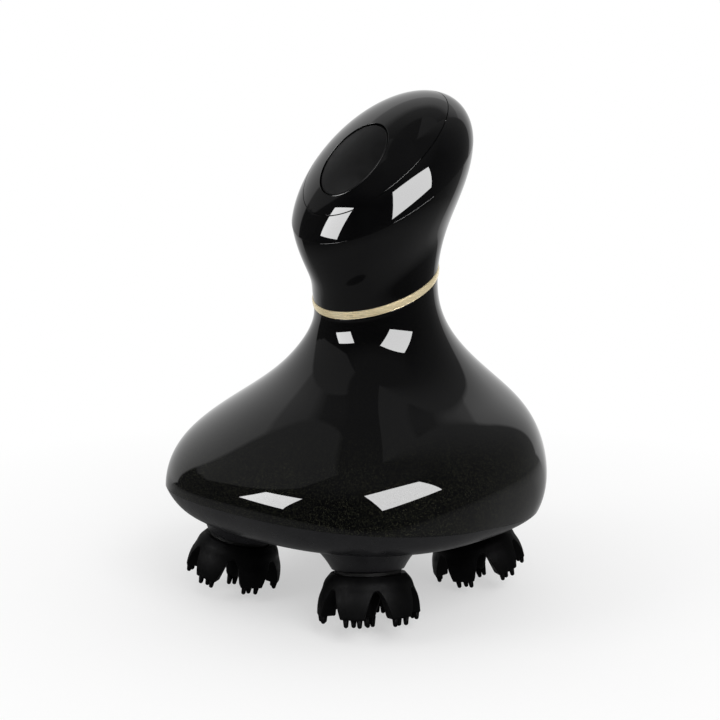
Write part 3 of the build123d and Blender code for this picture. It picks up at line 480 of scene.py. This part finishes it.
def glitter_black():
    """Gloss black over fine metal flake, thickest towards the rim."""
    material, n, inputs = lacquer("glitter_black")
    where = n.place()
    cells = n.add("ShaderNodeTexVoronoi", {"Vector": where, "Scale": 5200.0, "Randomness": 1.0})
    split = n.add("ShaderNodeSeparateColor", {"Color": cells.outputs["Color"]})
    flake = n.between(split.outputs["Red"], 0.0, 1.0, 0.72, 0.8)
    height = n.add("ShaderNodeSeparateXYZ", {"Vector": where}).outputs["Z"]
    low_down = n.between(height, 1.0, 0.06, 0.042, 0.058)
    patchy = n.between(n.noise(70.0, 3.0), 0.45, 1.0, 0.3, 0.7)
    amount = n.maths("MULTIPLY", n.maths("MULTIPLY", flake, low_down), patchy)
    hue = n.ramp(split.outputs["Green"], 0.2, 0.9, (0.008, 0.009, 0.006), (0.022, 0.022, 0.014))
    base = (0.0016, 0.0016, 0.0018, 1.0)
    colour = n.add("ShaderNodeMix", {"Factor": amount, "A": base, "B": hue}, data_type="RGBA")
    n.link(colour.outputs["Result"], inputs["Base Color"])
    n.link(n.between(split.outputs["Blue"], 0.3, 0.5), inputs["Roughness"])
    return material


def satin_plastic(name, dark, light, roughness, depth=0.00002, sheen=0.5):
    """Moulded plastic with a fine sparked grain and slight variation in sheen."""
    material, n, inputs = new_look(name, IOR=1.46, Specular_IOR_Level=sheen)
    n.link(n.ramp(n.noise(180.0, 4.0), 0.3, 0.75, dark, light), inputs["Base Color"])
    n.link(n.between(n.noise(420.0, 4.0), *roughness, 0.3, 0.7), inputs["Roughness"])
    n.link(n.bump(n.noise(2600.0, 2.0), 0.5, depth), inputs["Normal"])
    return material


def metal(name, dark, light, roughness, metallic=1.0):
    """Turned or brushed metal: fine lines round its upright axis and uneven sheen."""
    material, n, inputs = new_look(name, Metallic=metallic)
    lines = n.noise(300.0, 4.0, (1.0, 1.0, 40.0))
    n.link(n.ramp(n.noise(150.0, 3.0), 0.3, 0.7, dark, light), inputs["Base Color"])
    n.link(n.between(lines, *roughness, 0.3, 0.7), inputs["Roughness"])
    n.link(n.bump(lines, 0.3, 0.000004), inputs["Normal"])
    return material


def silicone():
    """Soft matte rubber: fine mould texture and a little dust in the sheen."""
    material, n, inputs = new_look("silicone", IOR=1.41, Specular_IOR_Level=0.07)
    tint = n.ramp(n.noise(220.0, 5.0), 0.3, 0.8, (0.0012, 0.0012, 0.0014), (0.0026, 0.0026, 0.0029))
    n.link(tint, inputs["Base Color"])
    n.link(n.between(n.noise(500.0, 4.0), 0.45, 0.62, 0.3, 0.7), inputs["Roughness"])
    n.link(n.bump(n.noise(1800.0, 3.0), 0.5, 0.00003), inputs["Normal"])
    return material


# One material for each of the record's material slots: the colour's dark and light end and
# the roughness's low and high end.
LOOKS = {
    "glitter_shell": glitter_black(),
    "gloss_black": gloss_black(),
    "tray_plastic": satin_plastic(
        "tray_plastic", (0.007, 0.007, 0.008), (0.010, 0.010, 0.011), (0.26, 0.34), depth=0.000004
    ),
    "button_plastic": satin_plastic(
        "button_plastic", (0.002, 0.002, 0.0022), (0.0035, 0.0035, 0.0038), (0.34, 0.44), sheen=0.14
    ),
    "claw_rubber": silicone(),
    "seal_rubber": satin_plastic(
        "seal_rubber", (0.004, 0.004, 0.004), (0.009, 0.009, 0.009), (0.6, 0.8)
    ),
    "core_plastic": satin_plastic(
        "core_plastic", (0.0012, 0.0012, 0.0013), (0.0024, 0.0024, 0.0026), (0.5, 0.65)
    ),
    "gear_plastic": satin_plastic("acetal", (0.68, 0.66, 0.60), (0.80, 0.78, 0.72), (0.35, 0.5)),
    "frame_plastic": satin_plastic(
        "frame_plastic", (0.12, 0.125, 0.13), (0.18, 0.185, 0.19), (0.45, 0.6)
    ),
    "switch_plastic": satin_plastic(
        "switch_plastic", (0.02, 0.02, 0.02), (0.035, 0.035, 0.035), (0.4, 0.55)
    ),
    "board": satin_plastic("board", (0.01, 0.10, 0.04), (0.02, 0.16, 0.07), (0.25, 0.4)),
    "cell_sleeve": satin_plastic("cell_sleeve", (0.03, 0.12, 0.30), (0.05, 0.17, 0.38), (0.2, 0.3)),
    "gold_trim": metal("pale_gold", (0.86, 0.72, 0.44), (0.95, 0.82, 0.54), (0.22, 0.32), 0.45),
    "steel": metal("steel", (0.50, 0.50, 0.52), (0.66, 0.66, 0.68), (0.2, 0.4)),
    "screw_steel": metal("black_screw", (0.10, 0.10, 0.11), (0.18, 0.18, 0.19), (0.3, 0.5)),
    "brass": metal("brass", (0.62, 0.45, 0.20), (0.75, 0.58, 0.30), (0.2, 0.35)),
}
SLOT_OF = {row["node"]: row["material_slot"] for row in frame["record"]["subparts"]}
for name, node in frame["nodes"].items():
    node.data.materials.clear()
    node.data.materials.append(LOOKS[SLOT_OF[name]])


def dress(piece, body, slot, *nodes):
    """Gives a piece its material and puts it in the place of CAD nodes, on their body."""
    piece.data.materials.append(LOOKS[slot])
    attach(piece, body)
    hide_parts(*nodes)
    return piece


# ---------------------------------------------------------------- the visible shells
ROWS = body_rows()
upper = cut_rows(ROWS, -BEYOND_THE_ENDS, -RING_HEIGHT - RING_GAP, UPPER_ROWS)
upper_shell = mesh_from_rows("upper_shell", closed_shell(upper, UPPER_EDGE), closed=True)
cut_opening(upper_shell, stadium(*PLUG_SEAT, PLUG_LEVEL, *PLUG_REACH))
dress(upper_shell, "housing", "glitter_shell", "upper_housing")

ring = cut_rows(ROWS, -RING_HEIGHT, 0.0, RING_ROWS)
from_middle = np.linspace(-1, 1, RING_ROWS)[:, None, None]
ring = ring + normals_of(ring) * (RING_PROUD + RING_SWELL * (1 - from_middle**2))
ring_band = mesh_from_rows("ring_band", finished_shell(ring, RING_EDGE, THIN_SHELL))
dress(ring_band, "housing", "gold_trim", "neck_ring")

handle = cut_rows(ROWS, RING_GAP, BEYOND_THE_ENDS, HANDLE_ROWS)
handle_shell = mesh_from_rows("handle_shell", finished_shell(handle, HANDLE_EDGE))
dress(handle_shell, "housing", "glitter_shell", "handle_housing")

parting = outline(parting_station())
panel_outer = plug_outline(PANEL_CENTRE, PANEL_TILT, PANEL_HALF, grow=PANEL_GAP)
panel_inner = plug_outline(PANEL_CENTRE, PANEL_TILT, PANEL_HALF, grow=-PANEL_GAP)
button_hole = plug_outline(BUTTON_CENTRE, BUTTON_TILT, BUTTON_HALF, grow=BUTTON_GAP)
button_edge = plug_outline(BUTTON_CENTRE, BUTTON_TILT, BUTTON_HALF, BUTTON_SINK)

cover = head_patch(parting, panel_outer, COVER_ROWS)
head_shell = mesh_from_rows("head_shell", finished_shell(cover, COVER_EDGE))
dress(head_shell, "housing", "gloss_black", "head_cover")

# The panel's hole has a straight wall along the button's axis, so the button slides free of it.
panel = head_patch(panel_inner, button_hole, PANEL_ROWS)
panel = finished_shell(panel, PANEL_EDGE, THIN_SHELL, BUTTON_AXIS)
panel_inlay = mesh_from_rows("panel_inlay", panel)
dress(panel_inlay, "housing", "gloss_black", "top_panel")

crown = on_head(head_direction(BUTTON_CENTRE[None] + BUTTON_AXIS * CROWN_LIFT), BUTTON_SINK)
crown = np.repeat(crown, AROUND, 0)
cap = head_patch(button_edge, crown, BUTTON_ROWS, BUTTON_SINK)[:-1]
cap_start, cap_wall = rounded_end(cap[0], cap[1], normals_of(cap)[0], BUTTON_EDGE, BUTTON_WALL)
cap[0] = cap_start
cap = np.concatenate([np.array(cap_wall[::-1]), cap])
button_face = mesh_from_rows("button_face", cap, cap_end=True)
dress(button_face, "power_button", "button_plastic", "button_cap")

# ---------------------------------------------------------------- the soft claws
# Each claw is made upright round its own axis, with drops counted down from its seat under the
# tray, and is then set in its place with its axis leaning out.
SPLAY = math.radians(12.0)
CLAW_ANGLES = {"back_right": 45.0, "back_left": 135.0, "front_left": 225.0, "front_right": 315.0}
CLAW_PHASES = {"back_right": 45.0, "back_left": 45.0, "front_left": 39.0, "front_right": 50.5}
CLAW_FOOT_RADIUS = 38.5
CLAW_TOP = 1.2
FINGERS = 6
FINGER_END = 12.4
TIP_DROP = 14.6
TIP_RADIUS = 13.15

# The cup's radius at each drop, outside and inside, and the rings that close its two tops.
CUP_OUTSIDE = [(1.2, 10.5), (3.0, 12.0), (5.4, 12.9), (7.5, 13.75), (9.6, 14.2), (12.6, 14.4)]
CUP_INSIDE = [(5.4, 7.4), (6.4, 9.2), (8.4, 10.0), (12.6, 10.6)]
CUP_CEILING = CUP_INSIDE[0][0]
CUP_AROUND = 360
POINT = 0.01
CUP_TOP_RINGS = (POINT, 4.0, 8.0, 10.0)
CUP_CEILING_RINGS = (5.0, 2.0, POINT)
OUTSIDE_ROWS = 28
EDGE_ROWS = 5
INSIDE_ROWS = 14
EDGE_ROUND = 0.35
EDGE_CORNER = EDGE_ROUND * 0.3

# Half of the pointed gap between two fingers: distance from its middle and drop of its edge.
ARCH = [
    (0.0, 5.0),
    (0.8, 5.2),
    (1.5, 5.9),
    (2.1, 7.0),
    (2.6, 8.3),
    (3.1, 9.8),
    (3.6, 11.2),
    (4.0, 12.4),
]
ARCH_REACH = 14.4

# Each finger ends in three soft points, and so does the middle one.
PEG_AROUND = 24
PEG_END_STEPS = 6
NUB_RADIUS = 0.95
NUB_TIP_RADIUS = 0.65
NUB_ROOT = 0.9
NUB_SPREAD = 1.95
NUB_STEP_IN = 0.7
MIDDLE_TOP_RADIUS = 4.6
MIDDLE_END_RADIUS = 2.2
MIDDLE_ROOT = 0.5
MIDDLE_END = 14.3
MIDDLE_TIP = 16.5
MIDDLE_NUBS = 3
MIDDLE_NUB_SPREAD = 1.05


def smooth_along(table, value):
    """A table's value with no corners at its rows."""
    places, sizes = np.array(table, float).T
    slopes = np.gradient(sizes, places)
    row = np.clip(np.searchsorted(places, value) - 1, 0, len(places) - 2)
    gap = places[row + 1] - places[row]
    t = np.clip((value - places[row]) / gap, 0.0, 1.0)
    rise = sizes[row + 1] - sizes[row]
    bend = t * (1 - t)
    first, last = slopes[row] * gap - rise, rise - slopes[row + 1] * gap
    return sizes[row] + t * rise + bend * ((1 - t) * first + t * last)


def circle(around):
    """Angles evenly round, and the unit circle's points at them in the claw's plane."""
    turn = np.linspace(0, 2 * math.pi, around, endpoint=False)
    return turn, np.stack([np.cos(turn), np.sin(turn), 0 * turn], -1)


def cup_rows(phase):
    """Domed cup from its top centre, down the outside to the fingers' ends and up the inside."""
    turn, unit = circle(CUP_AROUND)
    pitch = 2 * math.pi / FINGERS
    from_gap = (turn - phase) % pitch - pitch / 2
    sideways = np.abs(ARCH_REACH * np.sin(from_gap))
    end = smooth_along(ARCH, np.minimum(sideways, ARCH[-1][0]))
    inside_end = np.maximum(end, CUP_CEILING)
    inside_last = np.maximum(end - EDGE_ROUND, CUP_CEILING)
    outer = smooth_along(CUP_OUTSIDE, end)
    inner = smooth_along(CUP_INSIDE, inside_end)

    def at(radius, drop):
        radius, drop = np.broadcast_to(radius, turn.shape), np.broadcast_to(drop, turn.shape)
        return unit * radius[:, None] - np.array([0, 0, 1.0]) * drop[:, None]

    rows = [at(radius, CLAW_TOP) for radius in CUP_TOP_RINGS]
    for share in np.linspace(0, 1, OUTSIDE_ROWS):
        drop = CLAW_TOP + (end - EDGE_ROUND - CLAW_TOP) * share
        rows.append(at(smooth_along(CUP_OUTSIDE, drop), drop))
    rows.append(at(outer - EDGE_CORNER, end - EDGE_CORNER))
    for share in np.linspace(0, 1, EDGE_ROWS):
        rows.append(at(outer - EDGE_ROUND + (inner + 2 * EDGE_ROUND - outer) * share, end))
    rows.append(at(inner + EDGE_CORNER, end - EDGE_CORNER))
    for share in np.linspace(1, 0, INSIDE_ROWS):
        drop = CUP_CEILING + (inside_last - CUP_CEILING) * share
        rows.append(at(np.minimum(smooth_along(CUP_INSIDE, drop), inner), drop))
    rows += [at(radius, CUP_CEILING) for radius in CUP_CEILING_RINGS]
    return np.array(rows)


def peg_rows(place, radius, end_radius, top, end):
    """Soft peg that hangs from top to end, with a round end."""
    unit = circle(PEG_AROUND)[1]
    rows = []
    for size, drop in [(POINT, top), (radius, top), (end_radius, end - end_radius)]:
        rows.append(unit * size + [*place, -drop])
    for step in range(1, PEG_END_STEPS + 1):
        angle = math.pi / 2 * step / PEG_END_STEPS
        size = max(end_radius * math.cos(angle), POINT)
        rows.append(unit * size + [*place, -end + end_radius * (1 - math.sin(angle))])
    return np.array(rows)


def nub_rows(place, root, end):
    """One of the soft points at a finger's end."""
    return peg_rows(place, NUB_RADIUS, NUB_TIP_RADIUS, root - NUB_ROOT, end)


def claw_parts(phase):
    """The cup, the middle finger and all the soft points of one claw."""
    middle_top = CUP_CEILING - MIDDLE_ROOT
    parts = [
        cup_rows(phase),
        peg_rows((0, 0), MIDDLE_TOP_RADIUS, MIDDLE_END_RADIUS, middle_top, MIDDLE_END),
    ]
    for finger in range(FINGERS):
        angle = phase + 2 * math.pi * finger / FINGERS
        out = np.array([math.cos(angle), math.sin(angle)])
        side = np.array([-out[1], out[0]])
        for along, inward in [(-NUB_SPREAD, 0), (NUB_SPREAD, 0), (0, NUB_STEP_IN)]:
            place = out * (TIP_RADIUS - inward) + side * along
            parts.append(nub_rows(place, FINGER_END, TIP_DROP))
    for nub in range(MIDDLE_NUBS):
        angle = phase + 2 * math.pi * nub / MIDDLE_NUBS
        place = MIDDLE_NUB_SPREAD * np.array([math.cos(angle), math.sin(angle)])
        parts.append(nub_rows(place, MIDDLE_END, MIDDLE_TIP))
    return parts


def claw_mesh(name, parts, angle):
    """One mesh of all a claw's parts, set at the claw's place under the tray."""
    outward = np.array([math.cos(angle), math.sin(angle), 0.0])
    up = np.array([0.0, 0.0, 1.0])
    x_axis = outward * math.cos(SPLAY) + up * math.sin(SPLAY)
    z_axis = up * math.cos(SPLAY) - outward * math.sin(SPLAY)
    axes = np.stack([x_axis, np.cross(z_axis, x_axis), z_axis])
    reach = CLAW_FOOT_RADIUS - TIP_DROP * math.sin(SPLAY)
    level = TIP_DROP * math.cos(SPLAY) + (TIP_RADIUS + NUB_TIP_RADIUS) * math.sin(SPLAY)
    points, faces = [], []
    for rows in parts:
        faces += solid_faces(*rows.shape[:2], len(points))
        points += list((rows[::-1].reshape(-1, 3) @ axes + outward * reach + up * level) * MM)
    return add_mesh(name, points, faces)


for name, angle in CLAW_ANGLES.items():
    phase = math.radians(CLAW_PHASES[name] - angle)
    claw = claw_mesh(f"{name}_soft_claw", claw_parts(phase), math.radians(angle))
    dress(claw, f"{name}_claw_unit", "claw_rubber", f"{name}_claw")


# ---------------------------------------------------------------- studio
def stage_mesh(name, points, faces, material, only_gloss=False):
    """A piece of the studio, which may be there for reflections alone."""
    card = add_mesh(name, points, faces, smooth=False)
    card.data.materials.append(material)
    if only_gloss:
        card.visible_camera = False
        card.visible_diffuse = False
        card.visible_shadow = False
        card.visible_transmission = False
        card.visible_volume_scatter = False
    return card


def glow(name, strength=None):
    """White light of one strength, or of the mesh's own brightness where none is given."""
    material = bpy.data.materials.new(name)
    n = Nodes(material, cleared=True)
    if strength is None:
        strength = n.add("ShaderNodeAttribute", attribute_name="brightness").outputs["Fac"]
    lamp = n.add("ShaderNodeEmission", {"Color": WHITE, "Strength": strength})
    n.add("ShaderNodeOutputMaterial", {"Surface": lamp.outputs[0]})
    return material


# The two softboxes that the gloss reflects, by the directions of their corners.
SOFTBOX_GLOW = 15.0
SOFTBOX_DISTANCE = 0.9
OBJECT_MIDDLE = np.array([0.005, -0.01, 0.08])
SOFTBOXES = {
    "softbox_right": [(11, 22), (55, 29), (46, 57), (-9, 55)],
    "softbox_left": [(-84, 20), (-57, 18), (-59, 47), (-86, 42)],
}
softbox_light = glow("softbox", SOFTBOX_GLOW)
for name, corners in SOFTBOXES.items():
    points = [OBJECT_MIDDLE + towards(*corner) * SOFTBOX_DISTANCE for corner in corners]
    stage_mesh(name, points, [(0, 1, 2, 3)], softbox_light, only_gloss=True)

# The room that the gloss reflects: dark on the camera's side, a little lighter to the right,
# white behind the object. Each row is a direction in degrees and a brightness.
DARK_SIDE = [
    (-180, 0.05),
    (-100, 0.04),
    (-60, 0.02),
    (-15, 0.01),
    (60, 0.05),
    (100, 0.11),
    (131, 0.2),
]
WHITE_SIDE = [(-180, 0.95), (-160, 0.8), (-124, 0.5), (124, 0.5), (146, 0.95), (180, 0.95)]
WHITE_EDGES = (-124, 131)
WHITE_TOP = 47
HAZE_TOP = 74
HAZE_SHARE = [(47, 0.65), (58, 0.55), (64, 0.22), (74, 0.18)]
WING_GLOW = 0.2
WING_EDGE = [(26, -124), (30, -108), (57, -81), (90, -81)]
CEILING_GLOW = [(45, 0.0), (70, 0.09)]
ROOM_RADIUS = 2.0
STEP = 2
AZIMUTHS = range(-180, 180, STEP)
ROOM_LEVELS = range(-2, 91, STEP)

# The table's brightness by azimuth, and where it fades into the room's, in metres.
TABLE_GLOW = [
    (-180, 0.95),
    (-150, 0.7),
    (-135, 0.45),
    (-115, 0.18),
    (0, 0.15),
    (60, 0.2),
    (110, 0.28),
    (130, 0.5),
    (145, 0.95),
    (180, 0.95),
]
TABLE_REACHES = [0.0, 0.1, 0.2, 0.3, 0.45, 0.8, 2.0]
TABLE_FADE = [(0.2, 0.0), (0.45, 1.0)]
TABLE_LEVEL = np.array([0, 0, -0.4 * MM])


def read_off(table, value):
    """A table's value between its rows."""
    return float(np.interp(value, *zip(*table)))


def room_brightness(azimuth, elevation):
    """White behind the object with haze above it, a dim wing on the left and the dark side."""
    behind = azimuth < WHITE_EDGES[0] or azimuth > WHITE_EDGES[1]
    if behind and elevation < WHITE_TOP:
        return read_off(WHITE_SIDE, azimuth)
    if behind and elevation < HAZE_TOP:
        return read_off(WHITE_SIDE, azimuth) * read_off(HAZE_SHARE, elevation)
    if elevation < HAZE_TOP and azimuth < read_off(WING_EDGE, elevation):
        return WING_GLOW
    return max(read_off(DARK_SIDE, azimuth), read_off(CEILING_GLOW, elevation))


def table_brightness(azimuth, reach):
    """The table's own brightness near the object, and the room's further out."""
    far = read_off(TABLE_FADE, reach)
    return (1 - far) * read_off(TABLE_GLOW, azimuth) + far * room_brightness(azimuth, 0)


def graded_surface(name, levels, place, brightness):
    """Surface all the way round that only gloss sees, with its own brightness at each point."""
    spots = [(azimuth, level) for level in levels for azimuth in AZIMUTHS]
    points = [place(*spot) for spot in spots]
    faces = grid_faces(len(levels), len(AZIMUTHS))
    card = stage_mesh(name, points, faces, glow(name), only_gloss=True)
    values = card.data.attributes.new("brightness", "FLOAT", "POINT")
    values.data.foreach_set("value", [brightness(*spot) for spot in spots])


def room_place(azimuth, elevation):
    return towards(azimuth, elevation) * ROOM_RADIUS


def table_place(azimuth, reach):
    return towards(azimuth, 0.0) * reach + TABLE_LEVEL


graded_surface("room", ROOM_LEVELS, room_place, room_brightness)
graded_surface("table", TABLE_REACHES, table_place, table_brightness)

FLOOR_HALF = 6.0
FLOOR_LEVEL = -0.6 * MM
PAPER = (0.96, 0.96, 0.96, 1.0)


def floor_material():
    """White paper that keeps the object's shadow and runs into the white behind."""
    material = bpy.data.materials.new("white_floor")
    n = Nodes(material, cleared=True)
    paper = n.add("ShaderNodeBsdfDiffuse", {"Color": PAPER})
    white = n.add("ShaderNodeEmission")
    where = n.add("ShaderNodeTexCoord").outputs["Object"]
    away = n.add("ShaderNodeVectorMath", {0: where}, operation="LENGTH").outputs["Value"]
    share = n.between(away, 0.5, 1.0, 0.08, 0.24)
    mixed = n.add("ShaderNodeMixShader", {0: share, 1: paper.outputs[0], 2: white.outputs[0]})
    n.add("ShaderNodeOutputMaterial", {"Surface": mixed.outputs[0]})
    return material


FLOOR_CORNERS = [(-1, -1), (1, -1), (1, 1), (-1, 1)]
floor = [(x * FLOOR_HALF, y * FLOOR_HALF, FLOOR_LEVEL) for x, y in FLOOR_CORNERS]
stage_mesh("floor", floor, [(0, 1, 2, 3)], floor_material())

LAMP_DISTANCE = 1.2
LAMP_LIFT = 0.05


def area_lamp(name, direction, size, power):
    """Square lamp that lights the part but isn't reflected in it."""
    lamp = bpy.data.lights.new(name, "AREA")
    lamp.shape = "SQUARE"
    lamp.size = size
    lamp.energy = power
    holder = add_object(name, lamp)
    place = towards(*direction) * LAMP_DISTANCE
    holder.location = Vector(place) + Vector((0, 0, LAMP_LIFT))
    aim(holder, -place)
    holder.visible_glossy = False
    holder.visible_camera = False


area_lamp("lamp_right", (25, 40), 0.6, 5.0)
area_lamp("lamp_left", (-68, 36), 0.5, 2.0)

# The world is white to the camera and in gloss, and a little dimmer as light on the part.
WORLD_LIGHT = 0.7
world = bpy.data.worlds.new("world")
bpy.context.scene.world = world
n = Nodes(world, cleared=True)
ray = n.add("ShaderNodeLightPath").outputs
seen = n.maths("MAXIMUM", ray["Is Camera Ray"], ray["Is Glossy Ray"])
seen = n.maths("MAXIMUM", seen, ray["Is Transmission Ray"])
strength = n.between(seen, WORLD_LIGHT, 1.0)
sky = n.add("ShaderNodeBackground", {"Color": WHITE, "Strength": strength})
n.add("ShaderNodeOutputWorld", {"Surface": sky.outputs[0]})
